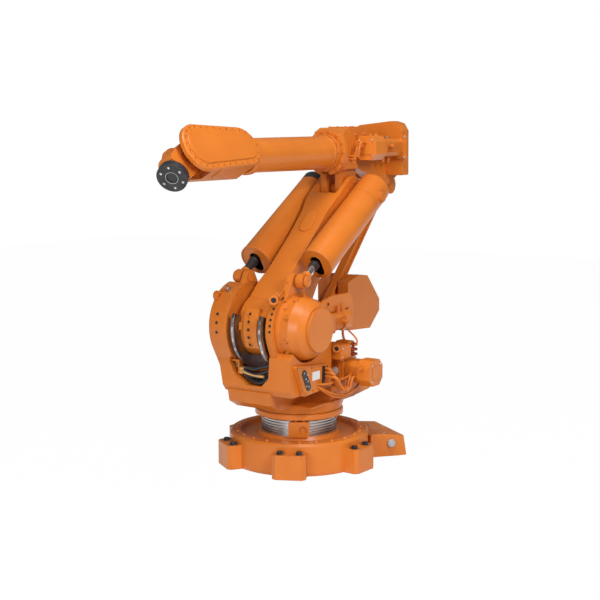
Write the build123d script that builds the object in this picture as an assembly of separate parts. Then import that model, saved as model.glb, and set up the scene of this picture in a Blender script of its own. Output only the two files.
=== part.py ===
import os
from math import asin, cos, degrees, pi, radians, sin, sqrt

from build123d import *

os.makedirs("parts", exist_ok=True)

# Kinematic skeleton, in millimetres and degrees
AXIS2_X = 300.0
AXIS2_Z = 900.0
LOWER_ARM = 1110.0
UPPER_ARM = 1575.0
LINE_OFFSET = 235.0
FLANGE_REACH = 200.0
CRANK = 580.0
BALANCER_SIDE = 228.0
BALANCER_FOOT = 286.0
HEAD_DROP = 35.0
BALANCER_HEAD = LOWER_ARM - HEAD_DROP
BALANCER_LEAN = -1.5

# Pose of the photograph
REST_TURN = -33.0
REST_LOWER = -43.0
REST_UPPER = 1.0
REST_ROLL = 30.0
REST_TILT = 36.0
BARREL_LEAD = 0.5

# Base and turntable
BASE_R = 442.0
BASE_H = 200.0
PAD_STEP = 28.0
PAD_R = BASE_R + PAD_STEP
PAD_H = 150.0
PAD_WIDTH = 206.0
FOOT_PITCH = 118.0
FOOT_HOLE_R = 14.0
RING_R = 281.0
RING_FOOT = 303.0
RING_H = 42.0
PEDESTAL_R = 160.0
DRUM_R = 240.0

# Swinging frame
FRAME_HALF = 270.0
FRAME_NOSE = 495.0
CHEEK_R = 262.0
CHEEK_STEP = 9.0
CHEEK_OUT = FRAME_HALF + CHEEK_STEP
CAVITY_R = 280.0
CAVITY_LEFT = 153.0
CAVITY_RIGHT = 116.0
GEAR_R = 202.0
GEAR_OUT = 345.0

# Lower arm
ARM_HALF = 111.0
HUB_R = 190.0
LOOP_R = 266.0
ARM_FRONT = 112.0
ARM_REAR = 100.0
HEAD_R = 84.0
FORK_GAP = 84.0

# Upper arm
LEG_R = 92.0
LEG_INNER = 34.0
FRONT_PLATE_X = 149.0
FRONT_PLATE_R = 146.0
COLLAR_R = 124.0
TUBE_R = 106.0
WRIST_START = 1020.0
WRIST_CORE_H = 100.0
WRIST_CORE_HALF = 95.0
WRIST_COVER_R = 140.0
WRIST_COVER_REAR = 1150.0
WRIST_COVER_OUT = 125.0
WRIST_SLOT = 66.0
TILT_R = 85.0
TILT_HALF = 55.0
DISC_R = 85.0

# Pins and clearances
PIN_R = 30.0
ELBOW_PIN_R = 35.0
BALANCER_PIN_R = 24.0
RUN_FIT = 0.05
OPEN_PIVOT = 3.0
CLEAR = 5.5
ROD_HALF = 27.0
BARREL_R = 104.0
BARREL_WALL = 9.0
BARREL_FOOT_GAP = 172.0
BARREL_HEAD_BLOCK = 75.0
BARREL_CROWN = 120.0
GAS_ROD_R = 26.0
ROD_HEAD_GAP = 204.0
ROD_COLLAR_R = 35.0

EYE_R = PIN_R + 28.0
LUG_R = PIN_R + 32.0
LEG_OUT = FORK_GAP - CLEAR
FOOT_PIN = AXIS2_Z + BALANCER_FOOT

OUTER = Location((AXIS2_X, 0, AXIS2_Z))
LOWER = OUTER * Rot(0, REST_LOWER, 0)
ELBOW_X = AXIS2_X + LOWER_ARM * sin(radians(REST_LOWER))
ELBOW_Z = AXIS2_Z + LOWER_ARM * cos(radians(REST_LOWER))
UPPER = Location((ELBOW_X, 0, ELBOW_Z)) * Rot(0, REST_UPPER, 0)
CRANK_ARM = OUTER * Rot(0, REST_UPPER, 0)
CRANK_END = CRANK_ARM * Pos(-CRANK, 0, 0)
ARM_LINE = UPPER * Pos(0, 0, LINE_OFFSET)
WRIST = ARM_LINE * Rot(REST_ROLL, 0, 0)
TILT = WRIST * Pos(UPPER_ARM, 0, 0) * Rot(0, REST_TILT, 0)
BASE = Rot(0, 0, REST_TURN)

HEAD_ANGLE = radians(REST_LOWER + BALANCER_LEAN)
HEAD_X = AXIS2_X + BALANCER_HEAD * sin(HEAD_ANGLE)
HEAD_Z = AXIS2_Z + BALANCER_HEAD * cos(HEAD_ANGLE)
PIN_SPAN = sqrt((HEAD_X - AXIS2_X) ** 2 + (HEAD_Z - FOOT_PIN) ** 2)
BARREL_TILT = degrees(asin((HEAD_X - AXIS2_X) / PIN_SPAN))
BARREL_ANGLE = BARREL_TILT + BARREL_LEAD
BARREL_LENGTH = PIN_SPAN - BARREL_FOOT_GAP
GAS_ROD_LENGTH = PIN_SPAN - ROD_HEAD_GAP


def outline(points, radius=0.0):
    face = make_face(Polyline(*points, close=True))
    if radius > 0:
        face = fillet(face.vertices(), radius)
    return face


def hull(*circles):
    edges = []
    for x, z, radius in circles:
        edges += (Pos(x, z) * Circle(radius)).edges()
    return make_hull(edges)


def slab(face, y_low, y_high):
    plane = Plane((0, y_high, 0), x_dir=(1, 0, 0), z_dir=(0, -1, 0))
    return extrude(plane * face, amount=y_high - y_low)


def across(face, x_low, x_high):
    plane = Plane((x_low, 0, 0), x_dir=(0, 1, 0), z_dir=(1, 0, 0))
    return extrude(plane * face, amount=x_high - x_low)


def drum_y(radius, y_low, y_high, x=0.0, z=0.0):
    middle = (y_low + y_high) / 2
    return Pos(x, middle, z) * Rot(90, 0, 0) * Cylinder(radius, y_high - y_low)


def drum_x(radius, x_low, x_high, y=0.0, z=0.0):
    middle = (x_low + x_high) / 2
    return Pos(middle, y, z) * Rot(0, 90, 0) * Cylinder(radius, x_high - x_low)


def drum_z(radius, z_low, z_high, x=0.0, y=0.0):
    return Pos(x, y, (z_low + z_high) / 2) * Cylinder(radius, z_high - z_low)


def block(x_low, x_high, y_low, y_high, z_low, z_high):
    middle = ((x_low + x_high) / 2, (y_low + y_high) / 2, (z_low + z_high) / 2)
    return Pos(*middle) * Box(x_high - x_low, y_high - y_low, z_high - z_low)


def turned(points, radius=0.0):
    face = outline(points, radius)
    return revolve(Plane.XZ * face, Axis.Z)


def turned_y(points, radius=0.0):
    face = outline(points, radius)
    return revolve(face, Axis.Y)


def tube(points, radius, bend):
    path = FilletPolyline(*points, radius=bend)
    start = Plane(origin=path @ 0, z_dir=path % 0)
    return sweep(start * Circle(radius), path=path)


def bundle(runs):
    return Compound([solid for run in runs for solid in run.solids()])


def save(name, shape):
    shape.label = name
    export_step(shape, "parts/" + name + ".step")


def base_casting():
    rim = BASE_R - 28
    floor = BASE_H - 24
    body = turned([
        (0, 0), (BASE_R - 8, 0), (BASE_R, 22), (BASE_R, BASE_H - 14),
        (BASE_R - 14, BASE_H), (rim - 40, BASE_H), (rim - 52, floor),
        (DRUM_R + 30, floor), (DRUM_R + 18, BASE_H), (0, BASE_H),
    ])
    for angle in (-120, -60, 0, 60, 120):
        pad = block(BASE_R - 90, PAD_R + 48, -PAD_WIDTH / 2, PAD_WIDTH / 2, 0, PAD_H)
        pad = chamfer(pad.edges().filter_by(Axis.Z).group_by(Axis.X)[-1], 22)
        body += Rot(0, 0, angle) * pad
    for angle in (-120, -60, 0, 60, 120):
        for side in (-0.5, 0.5):
            seat = Pos(PAD_R, side * FOOT_PITCH, 0)
            tool = seat * drum_z(30, PAD_H - 4, PAD_H + 80)
            hole = seat * drum_z(FOOT_HOLE_R, -5, PAD_H + 5)
            body -= Rot(0, 0, angle) * tool
            body -= Rot(0, 0, angle) * hole
    for step in range(24):
        body += Rot(0, 0, 15 * step + 7.5) * Pos(rim - 18, 0, BASE_H) * Sphere(11)
    return BASE * body


def base_pedestal():
    return drum_z(PEDESTAL_R, BASE_H, RING_FOOT + RING_H - 3)


def connector_box():
    inner = BASE_R - 30
    face = outline([(inner, 0), (BASE_R + 228, 0), (BASE_R + 205, 132), (BASE_R + 60, 150), (inner, 150)])
    shell = slab(face, -205, 205)
    shell -= drum_z(BASE_R + 0.4, -10, 400)
    for side in (-1, 1):
        wedge = Pos(BASE_R + 240, side * 245, 75) * Rot(0, 0, side * 8) * Box(520, 60, 400)
        shell -= wedge
    return BASE * Rot(0, 0, 180) * shell


def cable_drum():
    low = BASE_H + 0.0
    high = RING_FOOT - 3
    steps = 6
    pitch = (high - low) / steps
    points = [(PEDESTAL_R + 0.5, low)]
    for index in range(steps):
        foot = low + index * pitch
        points += [(DRUM_R, foot), (DRUM_R, foot + 0.55 * pitch)]
        points += [(DRUM_R - 12, foot + 0.55 * pitch), (DRUM_R - 12, foot + pitch)]
    points += [(PEDESTAL_R + 0.5, high)]
    return turned(points)


def drum_bracket():
    body = block(DRUM_R + 1, DRUM_R + 34, -66, 66, BASE_H, RING_FOOT - 5)
    body = chamfer(body.edges().filter_by(Axis.X), 12)
    body -= Pos(0, 26, BASE_H + 46) * drum_x(24, DRUM_R + 20, DRUM_R + 60)
    return BASE * Rot(0, 0, 67) * body


def turntable_ring():
    top = RING_FOOT + RING_H
    return turned([
        (PEDESTAL_R + 1, RING_FOOT), (RING_R - 22, RING_FOOT), (RING_R - 16, RING_FOOT + 7),
        (RING_R, RING_FOOT + 7), (RING_R, top - 8), (RING_R - 8, top), (PEDESTAL_R + 1, top),
    ])


def frame_casting():
    floor = RING_FOOT + RING_H
    deck = AXIS2_Z - 100
    body = turned([(0, floor), (RING_R - 10, floor), (RING_R + 12, floor + 70), (0, floor + 70)])
    side_view = outline([
        (-250, floor + 52), (262, floor + 52), (308, 461), (475, 503), (FRAME_NOSE, 540),
        (FRAME_NOSE - 6, 735), (420, deck), (60, deck), (-150, 640), (-250, 520),
    ], 16)
    body += slab(side_view, -FRAME_HALF, FRAME_HALF)
    body -= block(40, FRAME_NOSE + 100, 125, FRAME_HALF + 50, floor + 66, 505)
    flank = outline([(-FRAME_HALF - 30, 740), (-FRAME_HALF, 740), (-FRAME_HALF + 48, 505), (-FRAME_HALF + 48, 300),
                     (-FRAME_HALF - 30, 300)])
    body -= across(flank, -300, FRAME_NOSE + 100)
    beak = outline([(250, floor + 50), (400, floor + 50), (478, 440), (FRAME_NOSE, 520), (300, 520)], 8)
    body += slab(beak, -FRAME_HALF + 78, 125)
    shelf = outline([(-430, floor + 70), (-200, floor + 52), (-60, floor + 60), (-60, 500), (-430, 500)], 12)
    body += slab(shelf, 158, FRAME_HALF)
    centre = (AXIS2_X, AXIS2_Z)
    left_web = hull((*centre, CHEEK_R), (AXIS2_X - 60, AXIS2_Z - 250, 190))
    right_web = hull((*centre, CHEEK_R - 34), (AXIS2_X - 60, AXIS2_Z - 240, 190))
    body += slab(left_web, -CHEEK_OUT, -CAVITY_LEFT)
    body += slab(right_web, CAVITY_RIGHT, 165)
    lug = hull((AXIS2_X, FOOT_PIN, 45), (AXIS2_X, AXIS2_Z + 130, 120))
    body += slab(lug, -190, -CAVITY_LEFT)
    body += slab(lug, CAVITY_RIGHT + 24, 186)
    body -= drum_y(60, -BALANCER_SIDE - 60, -190, AXIS2_X, FOOT_PIN)
    body -= drum_y(GEAR_R + 1, 165, 500, *centre)
    body -= block(-1000, 40, 166, 400, 500, 1000)
    body -= drum_y(CAVITY_R, -CAVITY_LEFT, CAVITY_RIGHT, *centre)
    channel = outline([
        (AXIS2_X, 622), (60, 590), (-110, 535), (-300, 440), (-900, 200), (-900, 1500), (AXIS2_X, 1500),
    ])
    body -= slab(channel, -CAVITY_LEFT, 152)
    body += slab(outline([(150, 700), (60, 860), (200, 1060), (300, 1000), (300, 700)]), CAVITY_RIGHT, 165)
    window = outline([(-178, 720), (-178, 680), (-140, 610), (-50, 556), (60, 556), (112, 610), (CAVITY_RIGHT, 720)], 20)
    body -= across(window, AXIS2_X - 30, FRAME_NOSE + 60)
    body -= drum_y(60 + RUN_FIT, -210, -CAVITY_LEFT + 5, *centre)
    body -= drum_y(80 + RUN_FIT, CAVITY_RIGHT - 5, 170, *centre)
    return body


def balancer_foot_pin(side):
    start = 190 if side < 0 else 186
    pin = drum_y(BALANCER_PIN_R, start, BALANCER_SIDE + 40, AXIS2_X, FOOT_PIN)
    pin += drum_y(BALANCER_PIN_R + 12, BALANCER_SIDE + 31, BALANCER_SIDE + 40, AXIS2_X, FOOT_PIN)
    return pin if side > 0 else mirror(pin, Plane.XZ)


def gearbox_dome():
    body = turned_y([(0, 166), (GEAR_R, 166), (GEAR_R, 186), (GEAR_R - 10, 190), (GEAR_R - 10, 250),
                     (GEAR_R - 30, 305), (GEAR_R - 58, GEAR_OUT), (0, GEAR_OUT)])
    dome = Pos(AXIS2_X, 0, AXIS2_Z) * body
    neck = block(104, 180, 206, 330, 850, 974)
    dome += chamfer(neck.edges().filter_by(Axis.X), 12)
    dome -= drum_y(81, 160, 205, AXIS2_X, AXIS2_Z)
    return dome


def gearbox_cover():
    return drum_y(133, GEAR_OUT, GEAR_OUT + 18, AXIS2_X, AXIS2_Z)


def axis_3_gearbox():
    body = turned_y([(0, -CHEEK_OUT), (150, -CHEEK_OUT), (150, -CHEEK_OUT - 30),
                     (128, -CHEEK_OUT - 62), (0, -CHEEK_OUT - 62)])
    return Pos(AXIS2_X, 0, AXIS2_Z) * body


def boxed_motor(length, cap, half, cap_half):
    square = outline([(-half, -half * 0.6), (-half, half * 0.6), (-half * 0.6, half), (half * 0.6, half),
                      (half, half * 0.6), (half, -half * 0.6), (half * 0.6, -half), (-half * 0.6, -half)])
    wide = outline([(-cap_half, -cap_half * 0.5), (-cap_half, cap_half * 0.5), (-cap_half * 0.5, cap_half),
                    (cap_half * 0.5, cap_half), (cap_half, cap_half * 0.5), (cap_half, -cap_half * 0.5),
                    (cap_half * 0.5, -cap_half), (-cap_half * 0.5, -cap_half)])
    body = extrude(square, amount=length - cap)
    body += Pos(0, 0, length - cap) * extrude(wide, amount=cap)
    flange = Pos(0, 0, 8) * Box(2 * cap_half, 2 * cap_half, 16)
    body += chamfer(flange.edges().filter_by(Axis.Z), 10)
    return body


def axis_1_motor():
    return Pos(-143, FRAME_HALF, 584) * Rot(-90, 0, 0) * boxed_motor(212, 92, 68, 82)


def axis_1_gearbox():
    body = block(-235, -51, 166, FRAME_HALF, 500, 672)
    return chamfer(body.edges().filter_by(Axis.Y), 14)


def axis_2_motor():
    return Pos(104, 268, 912) * Rot(0, -90, 0) * boxed_motor(205, 70, 52, 62)


def axis_3_motor():
    return Pos(38, -216, 912) * Rot(0, -90, 0) * boxed_motor(205, 70, 52, 60)


def junction_box():
    body = block(-92, 30, 172, 330, 672, 764)
    return chamfer(body.edges().filter_by(Axis.Y), 8)


def connector_block():
    body = block(-150, -92, 215, 320, 672, 772)
    return chamfer(body.edges().filter_by(Axis.X), 8)


def side_panel():
    face = outline([(474, 700), (128, 668), (128, 600), (190, 512), (380, 503)], 10)
    return slab(face, FRAME_HALF, FRAME_HALF + 26)


def side_plate():
    face = hull((345, 655, 17), (285, 560, 17))
    return slab(face, FRAME_HALF + 26, FRAME_HALF + 31)


def window_panel():
    body = block(424, 466, -178, -122, 686, 699)
    return body + block(424, 466, -134, -122, 612, 699)


def window_cables():
    runs = []
    for index in range(4):
        x = 434 + 20 * (index % 2)
        z = 622 + 20 * (index // 2)
        runs.append(tube([(x, -122, z), (x, -100, z), (x, -60, z - 40), (x, 40, z - 42), (x, 96, z)], 9, 46))
    return bundle(runs)


def base_motor_cables():
    runs = []
    for index in range(3):
        y = FRAME_HALF + 66 + 20 * index
        runs.append(tube([(150, FRAME_HALF + 26, 640 - 24 * index), (150, y, 640 - 24 * index), (70, y, 500),
                          (-8, y, 500), (-36, y, 560), (-75, y, 560)], 9, 19))
    return bundle(runs)


def lower_arm_casting():
    side_view = outline([
        (-HUB_R + 22, -20), (-HUB_R + 20, 60), (-150, 230), (-ARM_REAR - 18, 420), (-ARM_REAR, 640),
        (-ARM_REAR, 930), (-HEAD_R + 2, LOWER_ARM), (HEAD_R - 2, LOWER_ARM), (ARM_FRONT, 930),
        (ARM_FRONT + 14, 600), (162, 260), (HUB_R - 16, 60), (HUB_R - 18, -20),
    ])
    body = slab(side_view, -ARM_HALF, ARM_HALF)
    front_view = outline([(-ARM_HALF, -HUB_R), (ARM_HALF, -HUB_R), (ARM_HALF, 190), (ARM_HALF - 18, 300),
                          (ARM_HALF - 18, 800), (ARM_HALF + 7, 960), (ARM_HALF + 7, LOWER_ARM + HEAD_R),
                          (-ARM_HALF - 7, LOWER_ARM + HEAD_R), (-ARM_HALF - 7, 960), (-ARM_HALF + 18, 800),
                          (-ARM_HALF + 18, 300), (-ARM_HALF, 190)])
    body = slab(side_view, -ARM_HALF - 7, ARM_HALF + 7)
    body += drum_y(HEAD_R, -ARM_HALF - 7, ARM_HALF + 7, 0, LOWER_ARM)
    body = body & across(front_view, -400, 400)
    body += drum_y(HUB_R, -ARM_HALF, ARM_HALF)
    slot_foot = LOWER_ARM - LEG_R - 34
    body -= block(-300, 300, -FORK_GAP, FORK_GAP, slot_foot, LOWER_ARM + 300)
    body -= drum_y(ELBOW_PIN_R + RUN_FIT, -300, 300, 0, LOWER_ARM)
    body += drum_y(80, ARM_HALF, 200)
    return LOWER * body


def hub_bracket():
    sector = slab(hull((0, 0, HUB_R + 34)), -48, 48) - drum_y(HUB_R, -60, 60)
    keep = outline([(0, 0), (330, 230), (420, 0), (330, -200)])
    return OUTER * (sector & slab(keep, -48, 48))


def cable_loop(side):
    disc = drum_y(LOOP_R - 22, 97, 105)
    disc -= drum_y(HUB_R, 90, 120)
    rim = drum_y(LOOP_R, 90, 110) - drum_y(LOOP_R - 22, 80, 130)
    keep = outline([(0, 0), (500, 190), (600, -200), (300, -600), (-100, -600)])
    loop = (disc + rim) & slab(keep, 80, 130)
    if side < 0:
        loop = mirror(loop, Plane.XZ)
    return OUTER * loop


def arm_cover():
    face = hull((0, 84, 44), (0, 176, 44))
    seat = Plane((ARM_FRONT + 14, 0, 600), x_dir=(0, 1, 0), z_dir=(330, 0, 14))
    return LOWER * extrude(seat * face, amount=7)


def balancer_head_pin(side):
    centre_x = BALANCER_HEAD * sin(radians(BALANCER_LEAN))
    centre_z = BALANCER_HEAD * cos(radians(BALANCER_LEAN))
    pin = drum_y(BALANCER_PIN_R, ARM_HALF + 7, BALANCER_SIDE + BARREL_R + 12, centre_x, centre_z)
    pin += drum_y(BALANCER_PIN_R + 12, BALANCER_SIDE + BARREL_R + 3, BALANCER_SIDE + BARREL_R + 12, centre_x, centre_z)
    if side < 0:
        pin = mirror(pin, Plane.XZ)
    return LOWER * pin


def elbow_shaft():
    return UPPER * drum_y(ELBOW_PIN_R, -ARM_HALF - 5, ARM_HALF + 5)


def barrel_seat(side):
    return Location((HEAD_X, side * BALANCER_SIDE, HEAD_Z)) * Rot(0, BARREL_ANGLE, 0)


def balancer_barrel(side):
    body = drum_z(BARREL_R, -BARREL_LENGTH, -BARREL_HEAD_BLOCK)
    body -= drum_z(BARREL_R - BARREL_WALL, -BARREL_LENGTH - 10, -BARREL_HEAD_BLOCK + 10)
    return barrel_seat(side) * body


def barrel_head(side):
    body = drum_z(BARREL_R, -BARREL_HEAD_BLOCK, BARREL_CROWN)
    body = chamfer(body.edges().group_by(Axis.Z)[-1], 22)
    body -= drum_y(BALANCER_PIN_R + RUN_FIT, -BARREL_R - 20, BARREL_R + 20)
    return barrel_seat(side) * body


def balancer_rod(side):
    eye = drum_y(45, -24, 24)
    body = eye + drum_z(GAS_ROD_R, 30, GAS_ROD_LENGTH)
    body += drum_z(30, 30, 62)
    body += drum_z(ROD_COLLAR_R, GAS_ROD_LENGTH - 26, GAS_ROD_LENGTH)
    body -= drum_y(BALANCER_PIN_R + RUN_FIT, -40, 40)
    return Location((AXIS2_X, side * BALANCER_SIDE, FOOT_PIN)) * Rot(0, BARREL_ANGLE, 0) * body


def parallel_arm():
    low = -CAVITY_LEFT + CLEAR
    high = -ARM_HALF - CLEAR
    neck = -CRANK + 150
    tail = -CRANK - 120
    root = hull((0, 0, 132), (neck, 0, 84))
    body = slab(root, low, high)
    cross = outline([(neck, -84), (neck, 46), (neck - 64, 84), (-CRANK + 20, 84), (-CRANK, 66), (-CRANK - 65, 66),
                     (tail, 52), (tail, -110), (tail + 100, -96)])
    body += slab(cross, low, LUG_R + 8)
    fork = ROD_HALF + CLEAR + 4
    body -= block(-CRANK - 78, -CRANK + 74, -fork, fork, -300, 300)
    body -= block(-CRANK, neck + 40, -fork, fork, -12, 300)
    body -= block(-CRANK - 400, -CRANK, -fork, fork, -8, 300)
    body -= block(-CRANK - 400, -CRANK - 30, -400, -118, -300, 300)
    body -= drum_y(PIN_R + RUN_FIT, -300, 300, -CRANK)
    body += drum_y(60, -200, low + 1)
    return CRANK_ARM * body


def counterweight():
    tail = -CRANK - 120
    face = outline([(tail, 190), (tail - 131, 226), (tail - 247, 212), (tail - 404, 34), (tail - 404, -45),
                    (tail - 278, -150), (tail, -128)])
    body = slab(face, -118, 118)
    fork = ROD_HALF + CLEAR + 4
    body -= block(tail - 600, tail + 100, -fork, fork, -8, 400)
    return CRANK_ARM * body


def crank_pin():
    return CRANK_END * drum_y(PIN_R, -LUG_R - 4, LUG_R + 4)


def parallel_rod():
    half_depth = 32
    body = block(-half_depth, half_depth, -ROD_HALF, ROD_HALF, 20, LOWER_ARM - 20)
    for side in (-1, 1):
        groove = block(-half_depth + 11, half_depth - 11, 9, 60, 86, LOWER_ARM - 86)
        body -= groove if side > 0 else mirror(groove, Plane.XZ)
    body += drum_y(EYE_R, -ROD_HALF, ROD_HALF)
    body += drum_y(EYE_R, -ROD_HALF, ROD_HALF, 0, LOWER_ARM)
    body -= drum_y(PIN_R + RUN_FIT, -100, 100)
    body -= drum_y(PIN_R + OPEN_PIVOT, -100, 100, 0, LOWER_ARM)
    return CRANK_END * Rot(0, REST_LOWER - REST_UPPER, 0) * body


def upper_arm_housing():
    top = LINE_OFFSET + 160
    legs = hull((0, 0, LEG_R), (0, 150, LEG_R))
    body = slab(legs, -LEG_OUT, LEG_OUT)
    mass = outline([
        (FRONT_PLATE_X - 40, top - 30), (FRONT_PLATE_X - 40, LINE_OFFSET - 110), (70, 128), (-70, 128),
        (-180, 92), (-300, 30), (-470, 12), (-CRANK, LUG_R), (-CRANK + 10, 180), (-400, 300), (-180, top),
        (40, top),
    ])
    body += slab(mass, -112, 112)
    body += drum_x(FRONT_PLATE_R, FRONT_PLATE_X - 46, FRONT_PLATE_X, 0, LINE_OFFSET)
    throat = outline([(-112, LINE_OFFSET), (112, LINE_OFFSET), (LEG_OUT + 4, 108), (-LEG_OUT - 4, 108)])
    body += across(throat, 70, FRONT_PLATE_X - 6)
    lug = hull((-CRANK, 0, LUG_R), (-500, 80, LUG_R))
    body += slab(lug, -LUG_R - 8, LUG_R + 8)
    fork = ROD_HALF + CLEAR + 4
    body -= block(-CRANK - 90, -CRANK + 200, -fork, fork, -200, 76)
    body -= drum_y(EYE_R + 12, -fork, fork, -CRANK)
    body -= block(-250, 250, -LEG_INNER, LEG_INNER, -300, 112)
    body -= drum_y(PIN_R, -300, 300, -CRANK)
    body -= drum_y(ELBOW_PIN_R + RUN_FIT, -300, 300)
    body -= drum_x(70, FRONT_PLATE_X - 30, FRONT_PLATE_X + 10, 0, LINE_OFFSET)
    return UPPER * body


def rod_pin():
    return UPPER * drum_y(PIN_R, -LUG_R - 12, LUG_R + 12, -CRANK)


def rear_cover():
    face = outline([(-150, 110), (-150, 385), (-100, 412), (150, 436), (204, 420), (234, 372), (234, 72),
                    (120, 72), (112, 110)], 8)
    body = across(face, -528, -440)
    mass = block(-600, -400, -112.5, 112.5, 0, 300)
    return UPPER * (body - mass)


def wrist_motor(y, z):
    return UPPER * Pos(-440, y, z) * Rot(0, 90, 0) * boxed_motor(412, 145, 58, 79)


def elbow_cables():
    runs = []
    for index in range(2):
        y = 196 - 24 * index
        runs.append(tube([(-28, y, 300 - 30 * index), (40, y, 300 - 30 * index), (40, y - 20, 210 - 20 * index),
                          (40, 112, 210 - 20 * index)], 9, 19))
    return UPPER * bundle(runs)


def arm_tube():
    start = FRONT_PLATE_X + 2
    body = drum_x(COLLAR_R - 6, start, start + 24)
    body += drum_x(70 - RUN_FIT, FRONT_PLATE_X - 26, start)
    neck = loft([Plane((start + 24, 0, 0), x_dir=(0, 1, 0), z_dir=(1, 0, 0)) * Circle(TUBE_R),
                 Plane((WRIST_START, 0, 0), x_dir=(0, 1, 0), z_dir=(1, 0, 0)) * Circle(TUBE_R - 5)])
    return WRIST * (body + neck)


def wrist_housing():
    body = block(WRIST_START, UPPER_ARM - 40, -WRIST_CORE_HALF, WRIST_CORE_HALF, -WRIST_CORE_H, WRIST_CORE_H)
    body = chamfer(body.faces().sort_by(Axis.X)[0].edges(), 36)
    body += drum_y(WRIST_CORE_H, -WRIST_CORE_HALF, WRIST_CORE_HALF, UPPER_ARM - 40)
    body -= drum_y(FLANGE_REACH - 10, -WRIST_SLOT, WRIST_SLOT, UPPER_ARM)
    body -= drum_y(45 + RUN_FIT, -WRIST_CORE_HALF + 8, WRIST_CORE_HALF - 8, UPPER_ARM)
    return WRIST * body


def wrist_cover(side):
    outer = WRIST_COVER_OUT if side > 0 else WRIST_COVER_OUT - 20
    slim = 0 if side > 0 else 42
    face = hull((WRIST_COVER_REAR, 0, WRIST_COVER_R - 20 - slim), (UPPER_ARM - 40, 0, WRIST_COVER_R - slim))
    plate = slab(face, WRIST_CORE_HALF, outer)
    plate = chamfer(plate.faces().sort_by(Axis.Y)[-1].edges(), 7)
    if side < 0:
        plate = mirror(plate, Plane.XZ)
    return WRIST * plate


def tilt_housing():
    body = slab(hull((0, 0, TILT_R - 15), (98, 0, TILT_R)), -TILT_HALF, TILT_HALF)
    body -= block(FLANGE_REACH - 54, FLANGE_REACH + 100, -200, 200, -200, 200)
    body += drum_y(45, -WRIST_CORE_HALF + 9, WRIST_CORE_HALF - 9)
    body += drum_x(54, 60, FLANGE_REACH - 48)
    body += drum_x(DISC_R - 11, FLANGE_REACH - 54, FLANGE_REACH - 42)
    body -= drum_x(30, 100, FLANGE_REACH)
    return TILT * body


def turning_disc():
    body = drum_x(DISC_R, FLANGE_REACH - 40, FLANGE_REACH)
    body += drum_x(30 - RUN_FIT, 104, FLANGE_REACH - 40)
    body -= drum_x(31.5, FLANGE_REACH - 8, FLANGE_REACH + 5)
    for step in range(6):
        angle = radians(60 * step)
        body -= drum_x(5, FLANGE_REACH - 18, FLANGE_REACH + 5, 62.5 * cos(angle), 62.5 * sin(angle))
    return TILT * body


save("base_casting", base_casting())
save("base_pedestal", base_pedestal())
save("connector_box", connector_box())
save("cable_drum", cable_drum())
save("drum_bracket", drum_bracket())
save("turntable_ring", turntable_ring())
save("frame_casting", frame_casting())
save("balancer_foot_pin_left", balancer_foot_pin(-1))
save("balancer_foot_pin_right", balancer_foot_pin(1))
save("axis_2_gearbox", gearbox_dome())
save("axis_2_gearbox_cover", gearbox_cover())
save("axis_3_gearbox", axis_3_gearbox())
save("axis_1_motor", axis_1_motor())
save("axis_1_gearbox", axis_1_gearbox())
save("axis_2_motor", axis_2_motor())
save("axis_3_motor", axis_3_motor())
save("junction_box", junction_box())
save("connector_block", connector_block())
save("side_panel", side_panel())
save("side_plate", side_plate())
save("window_panel", window_panel())
save("window_cables", window_cables())
save("base_motor_cables", base_motor_cables())
save("lower_arm_casting", lower_arm_casting())
save("hub_bracket", hub_bracket())
save("cable_loop_left", cable_loop(-1))
save("cable_loop_right", cable_loop(1))
save("arm_cover", arm_cover())
save("balancer_head_pin_left", balancer_head_pin(-1))
save("balancer_head_pin_right", balancer_head_pin(1))
save("elbow_shaft", elbow_shaft())
save("balancer_barrel_left", balancer_barrel(-1))
save("balancer_barrel_right", balancer_barrel(1))
save("barrel_head_left", barrel_head(-1))
save("barrel_head_right", barrel_head(1))
save("balancer_rod_left", balancer_rod(-1))
save("balancer_rod_right", balancer_rod(1))
save("parallel_arm", parallel_arm())
save("counterweight", counterweight())
save("crank_pin", crank_pin())
save("parallel_rod", parallel_rod())
save("upper_arm_housing", upper_arm_housing())
save("rod_pin", rod_pin())
save("rear_cover", rear_cover())
save("axis_4_motor", wrist_motor(192, 262))
save("elbow_cables", elbow_cables())
save("arm_tube", arm_tube())
save("wrist_housing", wrist_housing())
save("wrist_cover_left", wrist_cover(1))
save("wrist_cover_right", wrist_cover(-1))
save("tilt_housing", tilt_housing())
save("turning_disc", turning_disc())
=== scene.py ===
import math

import bmesh
import bpy
from mathutils import Matrix, Vector


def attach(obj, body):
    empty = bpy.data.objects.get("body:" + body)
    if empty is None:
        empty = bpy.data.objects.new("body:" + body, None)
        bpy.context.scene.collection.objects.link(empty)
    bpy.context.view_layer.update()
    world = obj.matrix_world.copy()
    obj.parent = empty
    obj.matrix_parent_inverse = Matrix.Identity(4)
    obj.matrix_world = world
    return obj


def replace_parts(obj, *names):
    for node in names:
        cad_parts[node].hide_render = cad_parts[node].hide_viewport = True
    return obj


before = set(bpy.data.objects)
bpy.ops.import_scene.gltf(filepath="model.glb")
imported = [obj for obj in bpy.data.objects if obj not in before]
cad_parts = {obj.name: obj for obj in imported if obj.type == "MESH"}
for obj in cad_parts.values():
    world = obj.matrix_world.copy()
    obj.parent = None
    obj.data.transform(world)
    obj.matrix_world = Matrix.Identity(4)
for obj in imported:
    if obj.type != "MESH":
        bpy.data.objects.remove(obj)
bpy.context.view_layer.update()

# Skeleton of the robot, in metres and degrees, as in the CAD source
AXIS2 = Vector((0.300, 0.0, 0.900))
LOWER_ARM = 1.110
UPPER_ARM = 1.575
LINE_OFFSET = 0.235
REST_TURN = -33.0
REST_LOWER = -43.0
REST_UPPER = 1.0
REST_ROLL = 30.0
REST_TILT = 36.0
BALANCER_SIDE = 0.228
FOOT_PIN = 1.186
BALANCER_HEAD = 1.075
BALANCER_LEAN = math.radians(-1.5)
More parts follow.
